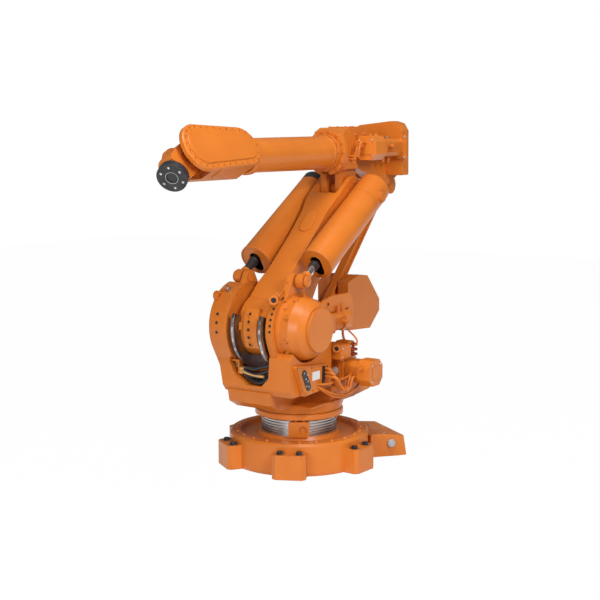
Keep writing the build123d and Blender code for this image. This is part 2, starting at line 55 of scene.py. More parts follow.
HEAD_X = BALANCER_HEAD * math.sin(BALANCER_LEAN)
HEAD_Z = BALANCER_HEAD * math.cos(BALANCER_LEAN)
BARREL_LEAD = 0.5
CHEEK_R = 0.262
WEB_R = 0.228
GEAR_RIM_R = 0.192
PAD_R = 0.470
PAD_TOP = 0.146
FOOT_HALF_PITCH = 0.059
BOX_TOP = 0.150
BOX_BEND = 0.502
BOX_SLOPE = 0.124
MOUTH_R = 0.0952


def turn(axis, degrees):
    return Matrix.Rotation(math.radians(degrees), 4, axis)


def shift(x, y, z):
    return Matrix.Translation((x, y, z))


FREE = Matrix.Identity(4)
AT_BASE = turn("Z", REST_TURN)
AT_BOX = AT_BASE @ turn("Z", 180)
AT_HUB = Matrix.Translation(AXIS2)
AT_LOWER = AT_HUB @ turn("Y", REST_LOWER)
ELBOW = AT_LOWER @ Vector((0, 0, LOWER_ARM))
AT_UPPER = Matrix.Translation(ELBOW) @ turn("Y", REST_UPPER)
AT_LINE = AT_UPPER @ shift(0, 0, LINE_OFFSET)
AT_WRIST = AT_LINE @ turn("X", REST_ROLL)
AT_TILT = AT_WRIST @ shift(UPPER_ARM, 0, 0) @ turn("Y", REST_TILT)


# Materials

MOTTLE_DETAIL = 4.0
MOTTLE_FROM = 0.32
MOTTLE_TO = 0.68
GRAIN_DETAIL = 3.0
PAINT_SPECULAR = 0.32
PAINT_COAT = 0.14
PAINT_COAT_ROUGHNESS = 0.22


def new_material(name):
    material = bpy.data.materials.new(name)
    material.use_nodes = True
    tree = material.node_tree
    return material, tree, tree.nodes["Principled BSDF"]


def mottled(tree, shader, dark, light, scale):
    coords = tree.nodes.new("ShaderNodeTexCoord")
    noise = tree.nodes.new("ShaderNodeTexNoise")
    ramp = tree.nodes.new("ShaderNodeValToRGB")
    noise.inputs["Scale"].default_value = scale
    noise.inputs["Detail"].default_value = MOTTLE_DETAIL
    ramp.color_ramp.elements[0].position = MOTTLE_FROM
    ramp.color_ramp.elements[1].position = MOTTLE_TO
    ramp.color_ramp.elements[0].color = (*dark, 1)
    ramp.color_ramp.elements[1].color = (*light, 1)
    tree.links.new(coords.outputs["Object"], noise.inputs["Vector"])
    tree.links.new(noise.outputs["Fac"], ramp.inputs["Fac"])
    tree.links.new(ramp.outputs["Color"], shader.inputs["Base Color"])
    return coords


def surface_grain(tree, shader, coords, scale, strength, distance, edge):
    noise = tree.nodes.new("ShaderNodeTexNoise")
    bump = tree.nodes.new("ShaderNodeBump")
    noise.inputs["Scale"].default_value = scale
    noise.inputs["Detail"].default_value = GRAIN_DETAIL
    bump.inputs["Strength"].default_value = strength
    bump.inputs["Distance"].default_value = distance
    tree.links.new(coords.outputs["Object"], noise.inputs["Vector"])
    tree.links.new(noise.outputs["Fac"], bump.inputs["Height"])
    if edge > 0:
        bevel = tree.nodes.new("ShaderNodeBevel")
        bevel.samples = 4
        bevel.inputs["Radius"].default_value = edge
        tree.links.new(bevel.outputs["Normal"], bump.inputs["Normal"])
    tree.links.new(bump.outputs["Normal"], shader.inputs["Normal"])


def painted(name, dark, light, rough, edge):
    material, tree, shader = new_material(name)
    coords = mottled(tree, shader, dark, light, 3.0)
    shader.inputs["Roughness"].default_value = rough
    shader.inputs["Specular IOR Level"].default_value = PAINT_SPECULAR
    shader.inputs["Coat Weight"].default_value = PAINT_COAT
    shader.inputs["Coat Roughness"].default_value = PAINT_COAT_ROUGHNESS
    surface_grain(tree, shader, coords, 60.0, 0.12, 0.002, edge)
    return material


def metal(name, dark, light, rough, edge=0.0):
    material, tree, shader = new_material(name)
    coords = mottled(tree, shader, dark, light, 12.0)
    shader.inputs["Metallic"].default_value = 1.0
    shader.inputs["Roughness"].default_value = rough
    surface_grain(tree, shader, coords, 160.0, 0.08, 0.001, edge)
    return material


def plain(name, dark, light, rough, edge=0.0):
    material, tree, shader = new_material(name)
    coords = mottled(tree, shader, dark, light, 20.0)
    shader.inputs["Roughness"].default_value = rough
    surface_grain(tree, shader, coords, 120.0, 0.1, 0.001, edge)
    return material


ORANGE = painted("orange_paint", (0.62, 0.166, 0.016), (0.70, 0.198, 0.020), 0.36, 0.006)
CAST = painted("orange_paint_on_casting", (0.60, 0.158, 0.016), (0.69, 0.192, 0.020), 0.38, 0.009)
CABLE_PAINT = painted("orange_paint_on_cable", (0.56, 0.145, 0.015), (0.66, 0.185, 0.020), 0.42, 0.0)
STEEL = metal("ground_steel", (0.62, 0.62, 0.64), (0.80, 0.80, 0.82), 0.16)
RIBS = metal("ribbed_metal", (0.42, 0.42, 0.42), (0.62, 0.61, 0.58), 0.38)
SCREW = metal("screw_steel", (0.50, 0.50, 0.50), (0.72, 0.72, 0.70), 0.30)
BRAID = metal("cable_guide_metal", (0.16, 0.16, 0.17), (0.42, 0.43, 0.45), 0.34, 0.003)
BLACK = plain("black_paint", (0.012, 0.012, 0.014), (0.030, 0.029, 0.033), 0.34, 0.004)
HOSE = plain("black_hose", (0.012, 0.012, 0.014), (0.028, 0.028, 0.032), 0.42)
# Near-black material for holes, gaps and the barrel insides: painted shade where the real surface only lies
# in shadow
PAINTED_SHADE = plain("painted_shade_in_recess", (0.010, 0.008, 0.010), (0.022, 0.015, 0.018), 0.7)
TAN = plain("tan_connector", (0.62, 0.32, 0.10), (0.74, 0.42, 0.16), 0.45)
WHITE = plain("blank_label", (0.78, 0.78, 0.76), (0.86, 0.86, 0.84), 0.4)
GREY = plain("grey_cap", (0.34, 0.35, 0.36), (0.46, 0.47, 0.48), 0.45)

SMOOTH_ANGLE = math.radians(32)


def smooth(mesh, angle=SMOOTH_ANGLE):
    mesh.shade_smooth()
    mesh.set_sharp_from_angle(angle=angle)


def dress(node, material):
    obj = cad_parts[node]
    obj.data.materials.clear()
    obj.data.materials.append(material)
    smooth(obj.data)


CASTINGS = ("base_casting", "frame_casting", "lower_arm_casting", "upper_arm_housing", "parallel_arm",
            "counterweight", "wrist_housing", "tilt_housing", "arm_tube", "balancer_barrel_left",
            "balancer_barrel_right", "barrel_head_left", "barrel_head_right", "base_pedestal",
            "axis_2_gearbox", "axis_3_gearbox")
PAINTED = ("connector_box", "drum_bracket", "turntable_ring", "axis_2_gearbox_cover", "axis_1_motor",
           "axis_1_gearbox", "axis_2_motor", "axis_3_motor", "junction_box", "connector_block", "side_panel",
           "window_panel", "hub_bracket", "arm_cover", "rear_cover", "axis_4_motor", "wrist_cover_left",
           "wrist_cover_right", "parallel_rod")
PINS = ("balancer_foot_pin_left", "balancer_foot_pin_right", "balancer_head_pin_left",
        "balancer_head_pin_right", "elbow_shaft", "crank_pin", "rod_pin")

for name in CASTINGS:
    dress(name, CAST)
for name in PAINTED:
    dress(name, ORANGE)
for name in PINS:
    dress(name, ORANGE)
for name, shaft in (("balancer_rod_left", BLACK), ("balancer_rod_right", STEEL)):
    dress(name, shaft)
for name in ("cable_loop_left", "cable_loop_right"):
    dress(name, BRAID)
for name in ("base_motor_cables", "elbow_cables"):
    dress(name, CABLE_PAINT)
dress("cable_drum", RIBS)
dress("turning_disc", BLACK)
dress("side_plate", BLACK)
dress("window_cables", HOSE)


EYE_CENTRE = Vector((AXIS2.x, FOOT_PIN))
EYE_REACH = 0.075


def paint_eye(node, material):
    """Gives the faces near the foot pin another material than the rest of the node."""
    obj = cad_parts[node]
    obj.data.materials.append(material)
    for face in obj.data.polygons:
        centre = obj.matrix_world @ face.center
        if (Vector((centre.x, centre.z)) - EYE_CENTRE).length < EYE_REACH:
            face.material_index = 1


bpy.context.view_layer.update()
for name in ("balancer_rod_left", "balancer_rod_right"):
    paint_eye(name, CAST)


# Mesh building

class Piece:
    """Collects parts of one mesh, then makes the object and hangs it on a body."""

    def __init__(self, name, body, slot, material):
        self.name = name
        self.body = body
        self.slot = slot
        self.material = material
        self.mesh = bmesh.new()

    def lathe(self, profile, at, steps=32):
        """Turns (radius, height) points about the local Z axis of at."""
        rings = []
        for radius, height in profile:
            if radius < 1e-6:
                rings.append([self.mesh.verts.new(at @ Vector((0, 0, height)))])
                continue
            ring = []
            for step in range(steps):
                angle = 2 * math.pi * step / steps
                point = Vector((radius * math.cos(angle), radius * math.sin(angle), height))
                ring.append(self.mesh.verts.new(at @ point))
            rings.append(ring)
        for low, high in zip(rings, rings[1:]):
            for step in range(steps):
                after = (step + 1) % steps
                if len(low) == 1 and len(high) > 1:
                    self.mesh.faces.new((low[0], high[after], high[step]))
                elif len(high) == 1 and len(low) > 1:
                    self.mesh.faces.new((low[step], low[after], high[0]))
                elif len(low) > 1:
                    self.mesh.faces.new((low[step], low[after], high[after], high[step]))
        return self

    def prism(self, outline, low, high, at, edge=0.0):
        """Extrudes an outline in local X and Y from low to high along Z, with a chamfer on the top edge."""
        count = len(outline)
        centre = Vector((sum(p[0] for p in outline) / count, sum(p[1] for p in outline) / count))

        def ring(height, inset):
            made = []
            for x, y in outline:
                away = Vector((x, y)) - centre
                length = max(away.length, 1e-9)
                point = centre + away * (1 - inset / length)
                made.append(self.mesh.verts.new(at @ Vector((point.x, point.y, height))))
            return made

        rings = [ring(low, 0)]
        if edge > 0:
            rings += [ring(high - edge, 0), ring(high, edge)]
        else:
            rings += [ring(high, 0)]
        for lower, upper in zip(rings, rings[1:]):
            for step in range(count):
                after = (step + 1) % count
                self.mesh.faces.new((lower[step], lower[after], upper[after], upper[step]))
        self.mesh.faces.new(list(reversed(rings[0])))
        self.mesh.faces.new(rings[-1])
        return self

    def pierced(self, outer, inner, low, high, at):
        """A plate between two closed outlines with the same number of points."""
        rings = []
        for points, height in ((outer, low), (outer, high), (inner, high), (inner, low)):
            rings.append([self.mesh.verts.new(at @ Vector((x, y, height))) for x, y in points])
        count = len(outer)
        for index in range(4):
            here, there = rings[index], rings[(index + 1) % 4]
            for step in range(count):
                after = (step + 1) % count
                self.mesh.faces.new((here[step], here[after], there[after], there[step]))
        return self

    def bolt(self, at, size):
        """A cap screw on a washer, standing along local Z. size is the head's radius."""
        self.lathe([(size * 1.35, 0), (size * 1.35, size * 0.18), (size, size * 0.22)], at, 16)
        self.lathe([(size, size * 0.2), (size, size * 0.95), (size * 0.86, size * 1.1),
                    (size * 0.55, size * 1.1), (size * 0.5, size * 0.6), (0, size * 0.6)], at, 16)
        return self

    def finish(self, angle=SMOOTH_ANGLE):
        bmesh.ops.recalc_face_normals(self.mesh, faces=self.mesh.faces)
        data = bpy.data.meshes.new(self.name)
        self.mesh.to_mesh(data)
        self.mesh.free()
        data.materials.append(self.material)
        smooth(data, angle)
        obj = bpy.data.objects.new(self.name, data)
        bpy.context.scene.collection.objects.link(obj)
        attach(obj, self.body)
        return obj


def facing(place, x, y, z, direction):
    """A frame at a local point whose Z axis points along direction."""
    z_axis = Vector(direction).normalized()
    helper = Vector((0, 0, 1)) if abs(z_axis.z) < 0.9 else Vector((1, 0, 0))
    x_axis = helper.cross(z_axis).normalized()
    y_axis = z_axis.cross(x_axis)
    matrix = Matrix((x_axis, y_axis, z_axis)).transposed().to_4x4()
    matrix.translation = (x, y, z)
    return place @ matrix


def upright(y, way=1):
    """Outlines drawn in X and Z, with their thickness along Y."""
    return Matrix(((1, 0, 0, 0), (0, 0, way, y), (0, 1, 0, 0), (0, 0, 0, 1)))


def ring_points(radius, count):
    for index in range(count):
        angle = 2 * math.pi * index / count
        yield radius * math.cos(angle), radius * math.sin(angle)


def rounded(half_x, half_y, corner, steps=4):
    points = []
    for quarter, (sx, sy) in enumerate(((1, 1), (-1, 1), (-1, -1), (1, -1))):
        for step in range(steps + 1):
            angle = math.radians(90 * quarter + 90 * step / steps)
            points.append((sx * (half_x - corner) + corner * math.cos(angle),
                           sy * (half_y - corner) + corner * math.sin(angle)))
    return points


def capsule(x0, y0, x1, y1, radius, steps=8):
    """The outline round two points, both ends half circles."""
    heading = math.atan2(y1 - y0, x1 - x0)
    points = []
    for centre_x, centre_y, start in ((x1, y1, heading - math.pi / 2), (x0, y0, heading + math.pi / 2)):
        for step in range(steps + 1):
            angle = start + math.pi * step / steps
            points.append((centre_x + radius * math.cos(angle), centre_y + radius * math.sin(angle)))
    return points


def hose(name, body, material, points, radius):
    """A bent cable or hose through control points, as a mesh tube."""
    curve = bpy.data.curves.new(name + "_path", "CURVE")
    curve.dimensions = "3D"
    spline = curve.splines.new("NURBS")
    spline.points.add(len(points) - 1)
    for target, point in zip(spline.points, points):
        target.co = (*point, 1)
    spline.order_u = 3
    spline.use_endpoint_u = True
    spline.resolution_u = 10
    curve.bevel_depth = radius
    curve.bevel_resolution = 4
    curve.use_fill_caps = True
    temporary = bpy.data.objects.new(name + "_path", curve)
    bpy.context.scene.collection.objects.link(temporary)
    data = bpy.data.meshes.new_from_object(temporary)
    bpy.data.objects.remove(temporary)
    data.name = name
    data.materials.clear()
    data.materials.append(material)
    data.shade_smooth()
    obj = bpy.data.objects.new(name, data)
    bpy.context.scene.collection.objects.link(obj)
    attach(obj, body)
    return obj


# Foot

foot = Piece("foot_washers", "base", "bright_steel", SCREW)
heads = Piece("foot_bolts", "base", "bright_steel", BLACK)
for pad in (-120, -60, 0, 60, 120):
    for side in (-FOOT_HALF_PITCH, FOOT_HALF_PITCH):
        seat = AT_BASE @ turn("Z", pad) @ shift(PAD_R, side, PAD_TOP)
        foot.lathe([(0.028, 0), (0.028, 0.004), (0.012, 0.005)], seat, 32)
        heads.lathe([(0.021, 0.004), (0.021, 0.017), (0.017, 0.021), (0, 0.021)], seat, 6)
foot.finish()
heads.finish()

button = Piece("connector_box_cap", "base", "bright_steel", GREY)
button.lathe([(0.026, -0.010), (0.026, 0.010), (0.021, 0.015), (0, 0.016)],
             facing(AT_BOX, 0.560, -0.203, 0.088, (-0.14, -1, 0.0)))
button.finish()

sockets = Piece("connector_box_sockets", "base", "paint", BLACK)
for side in (-0.11, -0.04, 0.03, 0.10):
    mouth = facing(AT_BOX, 0.660, side, 0.062, (0.985, 0, 0.17))
    sockets.prism(rounded(0.026, 0.020, 0.006), -0.012, 0.006, mouth, 0.002)
sockets.finish()

box_screws = Piece("connector_box_screws", "base", "bright_steel", SCREW)
for out in (0.525, 0.625):
    for side in (-0.165, -0.055, 0.055, 0.165):
        lid = facing(AT_BOX, out, side, BOX_TOP - (out - BOX_BEND) * BOX_SLOPE - 0.0005, (BOX_SLOPE, 0, 1))
        box_screws.bolt(lid, 0.006)
box_screws.finish()

# Turntable

studs = Piece("turntable_bolts", "frame", "paint", ORANGE)
for x, y in ring_points(0.2725, 36):
    studs.bolt(shift(x, y, 0.3105) @ turn("X", 180), 0.0075)
studs.finish()

seam = Piece("turntable_seal", "frame", "paint", BLACK)
seam.lathe([(0.2735, 0.3455), (0.2735, 0.3475), (0.262, 0.3475)], FREE, 96)
seam.lathe([(0.2435, 0.2995), (0.2435, 0.3055), (0.200, 0.3055)], FREE, 96)
seam.finish()

# Frame, left side


def on_hub(angle, radius, y):
    """A frame on a cylinder about axis 2, Z pointing outwards, angle counted from +X upwards."""
    radians_up = math.radians(angle)
    out = (math.cos(radians_up), 0, math.sin(radians_up))
    return facing(AT_HUB, radius * out[0], y, radius * out[2], out)


# Near-black discs in the cheek's holes: painted shade
hole_shade = Piece("cheek_hole_shade", "frame", "paint", PAINTED_SHADE)
for angle, y in ((18, -0.222), (6.5, -0.222), (-6.5, -0.222)):
    hole_shade.lathe([(0.0095, -0.004), (0.0095, 0.0012), (0, 0.0012)], on_hub(angle, CHEEK_R, y), 20)
hole_shade.finish()

fitting = Piece("cheek_fitting", "frame", "bright_steel", SCREW)
fitting.lathe([(0.016, -0.002), (0.016, 0.008), (0.011, 0.010)], on_hub(55, CHEEK_R, -0.212), 6)
fitting.lathe([(0.011, 0.008), (0.011, 0.024), (0.007, 0.028), (0.007, 0.036), (0, 0.037)],
              on_hub(55, CHEEK_R, -0.212), 20)
fitting.finish()

ear = Piece("lifting_ear", "frame", "paint", CAST)
ear_place = upright(-0.262)
outer_ring = list(ring_points(0.030, 32))
inner_ring = list(ring_points(0.012, 32))
ear_x, ear_z = AXIS2.x + 0.266 * math.cos(math.radians(43.7)), AXIS2.z + 0.266 * math.sin(math.radians(43.7))
ear.pierced([(ear_x + x, ear_z + z) for x, z in outer_ring],
            [(ear_x + x, ear_z + z) for x, z in inner_ring],
            -0.016, 0.016, ear_place)
ear.finish()

rings = Piece("cheek_inner_rings", "frame", "paint", CAST)
for y, radius in ((-0.150, CHEEK_R), (-0.1515, 0.246)):
    around = facing(AT_HUB, 0, y, 0, (0, 1, 0))
    rings.lathe([(radius, -0.004), (radius, 0.0), (radius - 0.004, 0.002), (radius - 0.008, 0.0),
                 (radius - 0.008, -0.004)],
                around, 96)
rings.finish()

cheek = Piece("cheek_bolts", "frame", "paint", ORANGE)
for x, z in ring_points(0.170, 16):
    cheek.bolt(facing(AT_HUB, x, -0.279, z, (0, -1, 0)), 0.008)
for x, z in ring_points(0.062, 8):
    cheek.bolt(facing(AT_HUB, x, -0.341, z, (0, -1, 0)), 0.007)
cheek.finish()

# Gearbox of axis 2

# Near-black discs in the web rim's holes: painted shade
rim_hole_shade = Piece("web_rim_hole_shade", "frame", "paint", PAINTED_SHADE)
for angle in (36, 27, 18, 9, 0):
    rim_hole_shade.lathe([(0.0085, -0.004), (0.0085, 0.0012), (0, 0.0012)], on_hub(angle, WEB_R, 0.148), 20)
rim_hole_shade.finish()

plugs = Piece("gearbox_plugs", "frame", "paint", ORANGE)
for angle, y in ((25.6, 0.236), (63.7, 0.238), (-15.5, 0.238), (-40, 0.22), (100, 0.22), (-70, 0.225)):
    seat = on_hub(angle, GEAR_RIM_R, y)
    plugs.lathe([(0.016, -0.002), (0.016, 0.004), (0.013, 0.006)], seat, 24)
    plugs.lathe([(0.011, 0.004), (0.011, 0.010), (0.008, 0.012), (0, 0.012)], seat, 6)
plugs.prism(capsule(-0.012, -0.018, 0.012, 0.018, 0.007), -0.003, 0.009, on_hub(48, GEAR_RIM_R, 0.216),
            0.003)
plugs.finish()


def boss(piece, hole_shade, place, radius, height):
    """A raised round boss with a hole in it; a near-black disc in the hole is painted shade."""
    piece.lathe([(radius, -0.030), (radius, height - 0.003), (radius - 0.003, height),
                 (radius * 0.55, height),
                 (radius * 0.52, height - 0.004)], place, 32)
    hole_shade.lathe([(radius * 0.54, height - 0.004), (0, height - 0.004)], place, 24)


bosses = Piece("housing_bosses", "frame", "paint", CAST)
# Near-black discs at the bottom of the boss holes: painted shade
boss_hole_shade = Piece("housing_boss_hole_shade", "frame", "paint", PAINTED_SHADE)
boss(bosses, boss_hole_shade, facing(FREE, 0.486, 0.150, 1.085, (0.80, 0.50, 0.10)), 0.030, 0.026)
boss(bosses, boss_hole_shade, facing(FREE, 0.086, 0.262, 1.024, (0.70, 0.70, 0.10)), 0.022, 0.020)
boss(bosses, boss_hole_shade, facing(FREE, 0.028, 0.300, 0.744, (0.90, 0.40, 0.10)), 0.026, 0.016)
bosses.finish()
boss_hole_shade.finish()

stop = Piece("swing_stop", "frame", "paint", CAST)
stop.prism(rounded(0.024, 0.020, 0.005), -0.012, 0.030, on_hub(58, WEB_R, 0.141), 0.004)
stop.prism(rounded(0.012, 0.020, 0.004), -0.010, 0.020, on_hub(70, WEB_R, 0.141), 0.003)
stop.prism(rounded(0.011, 0.012, 0.003), 0, 0.096, shift(0.352, 0.168, 1.090), 0.003)
for x, y, z in ((0.455, 0.150, 1.100), (0.430, 0.160, 1.116), (0.400, 0.150, 1.128), (0.262, 0.182, 1.098),
                (0.236, 0.182, 1.094)):
    stop.bolt(facing(FREE, x, y, z, (0.35, 0.45, 0.8)), 0.009)
stop.finish()

bracket = Piece("motor_bracket", "frame", "paint", CAST)
flat_y = upright(0.268)
bracket.prism([(0.170, 0.965), (0.150, 1.050), (0.031, 1.074), (-0.160, 1.072), (-0.205, 1.030),
               (-0.190, 0.990),
               (-0.100, 0.975)], -0.007, 0.007, flat_y, 0.002)
bracket.prism([(-0.150, 0.850), (-0.205, 0.850), (-0.222, 0.960), (-0.190, 1.040), (-0.150, 1.040)],
              -0.006, 0.0055,
              flat_y, 0.001)
bracket.finish()

pins = Piece("pin_faces", "frame", "paint", ORANGE)
for y, way in ((-0.268, -1), (-0.150, 1), (0.268, 1)):
    pins.lathe([(0.031, 0), (0.031, 0.003), (0.029, 0.0045), (0.013, 0.0045), (0.012, 0.001), (0, 0.001)],
               facing(FREE, AXIS2.x, y, FOOT_PIN, (0, way, 0)), 40)
pins.finish()

# Motors and boxes on the frame


def motor_details(name, body, place, length, cap, half, cap_half, connectors):
    """Bolts, fins, plugs and sockets for a boxed motor that stands along local Z."""
    screws = Piece(name + "_screws", body, "bright_steel", SCREW)
    for x in (-1, 1):
        for y in (-1, 1):
            screws.bolt(place @ shift(x * (cap_half - 0.012), y * (cap_half - 0.012), 0.016), 0.0065)
            screws.bolt(place @ shift(x * cap_half * 0.62, y * cap_half * 0.62, length), 0.0045)
    screws.finish()
    fins = Piece(name + "_fins", body, "paint", ORANGE)
    step = 0.013
    first = 0.030
    count = int((length - cap - first - 0.010) / step)
    for side in range(4):
        wall = place @ turn("Z", 90 * side)
        for index in range(count):
            z = first + index * step
            fins.prism([(half - 0.001, -half * 0.56), (half + 0.0035, -half * 0.52),
                        (half + 0.0035, half * 0.52), (half - 0.001, half * 0.56)], z, z + 0.005, wall)
    fins.finish()
    lid = Piece(name + "_end", body, "paint", CAST)
    lid.prism(rounded(cap_half * 0.56, cap_half * 0.56, cap_half * 0.2), length - 0.001, length + 0.004,
              place, 0.002)
    lid.finish()
    plugs_made = Piece(name + "_connectors", body, "paint", CABLE_PAINT)
    for x, y, z, direction in connectors:
        seat = place @ facing(FREE, x, y, z, direction)
        plugs_made.prism(rounded(0.017, 0.017, 0.004), -0.004, 0.008, seat, 0.001)
        plugs_made.lathe([(0.014, 0.008), (0.014, 0.030), (0.012, 0.032), (0.012, 0.042), (0, 0.043)],
                         seat, 24)
    plugs_made.finish()


MOTOR_2 = shift(0.104, 0.268, 0.912) @ turn("Y", -90)
MOTOR_3 = shift(0.038, -0.216, 0.912) @ turn("Y", -90)
MOTOR_1 = shift(-0.143, 0.270, 0.584) @ turn("X", -90)
MOTOR_4 = AT_UPPER @ shift(-0.440, 0.192, 0.262) @ turn("Y", 90)

motor_details("axis_2_motor", "frame", MOTOR_2, 0.205, 0.070, 0.052, 0.062,
              [(0, 0.050, 0.110, (0, 1, 0)), (0.050, 0.018, 0.110, (1, 0, 0)),
               (0.060, 0.010, 0.170, (1, 0, 0))])
motor_details("axis_3_motor", "frame", MOTOR_3, 0.205, 0.070, 0.052, 0.060,
              [(0.050, 0, 0.100, (1, 0, 0)), (0.058, 0, 0.165, (1, 0, 0))])
motor_details("axis_1_motor", "frame", MOTOR_1, 0.212, 0.092, 0.068, 0.082,
              [(0.068, 0.020, 0.078, (1, 0, 0.0)), (0.080, -0.034, 0.158, (1, 0, 0))])

disc = Piece("motor_blank_label", "frame", "paint", WHITE)
disc.lathe([(0.023, 0.0), (0.023, 0.0015), (0, 0.0015)], facing(FREE, -0.0512, 0.240, 0.588, (1, 0, 0)), 40)
disc.finish()

gear_1 = Piece("axis_1_gearbox_bolts", "frame", "paint", ORANGE)
for y in (0.186, 0.250):
    for z in (0.520, 0.652):
        gear_1.bolt(facing(FREE, -0.051, y, z, (1, 0, 0)), 0.008)
        gear_1.bolt(facing(FREE, -0.235, y, z, (-1, 0, 0)), 0.008)
for x in (-0.215, -0.143, -0.071):
    gear_1.bolt(facing(FREE, x, 0.218, 0.672, (0, 0, 1)), 0.006)
gear_1.finish()

lid_piece = Piece("junction_box_lid", "frame", "paint", ORANGE)
lid_piece.prism(rounded(0.054, 0.038, 0.006), 0, 0.005,
                facing(FREE, -0.031, 0.330, 0.718, (0, 1, 0)), 0.002)
lid_piece.finish()

box_bolts = Piece("junction_box_screws", "frame", "bright_steel", SCREW)
for x in (-0.077, 0.015):
    for z in (0.688, 0.748):
        box_bolts.bolt(facing(FREE, x, 0.335, z, (0, 1, 0)), 0.0045)
box_bolts.finish()

RED = plain("dark_red_connector", (0.20, 0.020, 0.012), (0.30, 0.040, 0.020), 0.45)
red = Piece("connector_block_plugs", "frame", "paint", RED)
for x in (-0.136, -0.107):
    for z in (0.692, 0.722, 0.752):
        red.lathe([(0.011, -0.002), (0.011, 0.012), (0.009, 0.014), (0.009, 0.026), (0, 0.027)],
                  facing(FREE, x, 0.320, z, (0, 1, 0)), 20)
red.finish()
hose("connector_block_cable", "frame", CABLE_PAINT,
     [(-0.107, 0.344, 0.752), (-0.107, 0.362, 0.752), (-0.110, 0.366, 0.785), (-0.118, 0.330, 0.815),
      (-0.110, 0.300, 0.840)], 0.0055)
hose("axis_2_motor_cable", "frame", CABLE_PAINT,
     [(-0.006, 0.268, 0.998), (-0.006, 0.268, 1.020), (-0.060, 0.262, 1.030), (-0.150, 0.240, 1.000),
      (-0.160, 0.236, 0.900), (-0.130, 0.240, 0.800), (-0.125, 0.262, 0.772)], 0.008)

clamp = Piece("cable_clamp", "frame", "paint", ORANGE)
clamp.prism(rounded(0.013, 0.034, 0.004), -0.013, 0.013, shift(0.030, 0.356, 0.500), 0.002)
clamp.finish()

# Side panel

plate_on_panel = Piece("side_oblong_plate", "frame", "black_metal", BLACK)
PANEL = upright(0.296)
plate_on_panel.prism(capsule(0.338, 0.556, 0.384, 0.643, 0.023), 0, 0.005, PANEL, 0.001)
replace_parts(plate_on_panel.finish(), "side_plate")

panel = Piece("side_panel_screws", "frame", "bright_steel", SCREW)
for x, z in ((0.389, 0.648), (0.356, 0.634), (0.372, 0.610), (0.351, 0.594), (0.367, 0.566),
             (0.342, 0.560)):
    panel.lathe([(0.0055, 0.0), (0.0055, 0.003), (0.004, 0.004), (0, 0.004)],
                facing(FREE, x, 0.301, z, (0, 1, 0)), 16)
panel.finish()

panel_bolts = Piece("side_panel_bolts", "frame", "paint", ORANGE)
for x, z in ((0.455, 0.682), (0.300, 0.666), (0.148, 0.651), (0.196, 0.528), (0.285, 0.522),
             (0.372, 0.519)):
    panel_bolts.bolt(facing(FREE, x, 0.296, z, (0, 1, 0)), 0.0065)
panel_bolts.finish()

frame_edge = Piece("side_panel_frame", "frame", "paint", CAST)
frame_edge.prism(capsule(0.462, 0.692, 0.140, 0.661, 0.005), 0, 0.006, PANEL, 0.002)
frame_edge.prism(capsule(0.462, 0.690, 0.386, 0.514, 0.005), 0, 0.006, PANEL, 0.002)
frame_edge.finish()

label = Piece("panel_blank_label", "frame", "paint", WHITE)
label.prism(rounded(0.041, 0.026, 0.003), 0, 0.0015, facing(FREE, 0.254, 0.296, 0.612, (0, 1, 0)))
label.finish()

# Near-black sheet in the gap by the side panel: painted shade
gap = Piece("panel_gap_shade", "frame", "paint", PAINTED_SHADE)
gap.prism([(0.186, 0.660), (0.128, 0.655), (0.118, 0.628), (0.172, 0.548), (0.190, 0.556)], -0.010, 0.001,
          PANEL @ shift(0, 0, 0.0005))
gap.finish()

# Window

tan = Piece("window_connectors", "frame", "paint", TAN)
for index in range(4):
    x = 0.434 + 0.020 * (index % 2)
    z = 0.622 + 0.020 * (index // 2)
    tan.lathe([(0.0125, -0.001), (0.0125, 0.016), (0.010, 0.019), (0.010, 0.030)],
              facing(FREE, x, -0.122, z, (0, 1, 0)), 20)
# Three coincident plugs, which give the shade of the tested render
for _ in range(3):
    tan.lathe([(0.012, -0.001), (0.012, 0.020), (0.009, 0.024), (0.009, 0.038), (0, 0.038)],
              facing(FREE, 0.445, -0.152, 0.686, (0, 0, -1)), 20)
tan.finish()

hose("window_hose_upper", "frame", HOSE,
     [(0.470, -0.060, 0.660), (0.475, -0.010, 0.650), (0.480, 0.050, 0.672), (0.480, 0.110, 0.690)], 0.011)
hose("window_hose_middle", "frame", HOSE,
     [(0.460, -0.080, 0.640), (0.470, -0.010, 0.612), (0.475, 0.060, 0.640), (0.480, 0.120, 0.660)], 0.011)
hose("window_hose_low", "frame", HOSE,
     [(0.450, -0.060, 0.592), (0.470, 0.000, 0.572), (0.475, 0.060, 0.574), (0.480, 0.112, 0.610)], 0.012)
hose("window_hose_tan", "frame", TAN,
     [(0.462, -0.095, 0.628), (0.475, -0.020, 0.612), (0.480, 0.070, 0.616)], 0.008)
hose("motor_hose_long", "frame", CABLE_PAINT,
     [(0.250, 0.292, 0.548), (0.200, 0.330, 0.510), (0.080, 0.345, 0.465), (-0.040, 0.345, 0.450),
      (-0.150, 0.345, 0.480),
      (-0.200, 0.345, 0.520)], 0.0075)
hose("motor_hose_short", "frame", CABLE_PAINT,
     [(0.250, 0.292, 0.560), (0.190, 0.330, 0.545), (0.120, 0.345, 0.560), (0.000, 0.350, 0.562),
      (-0.080, 0.352, 0.566)],
     0.0075)
hose("motor_hose_low", "frame", CABLE_PAINT,
     [(0.230, 0.292, 0.535), (0.160, 0.330, 0.480), (0.060, 0.338, 0.445), (-0.060, 0.338, 0.440),
      (-0.170, 0.330, 0.470)],
     0.0075)

# Lower arm

hub_rings = Piece("hub_bracket_bolts", "lower_arm", "paint", ORANGE)
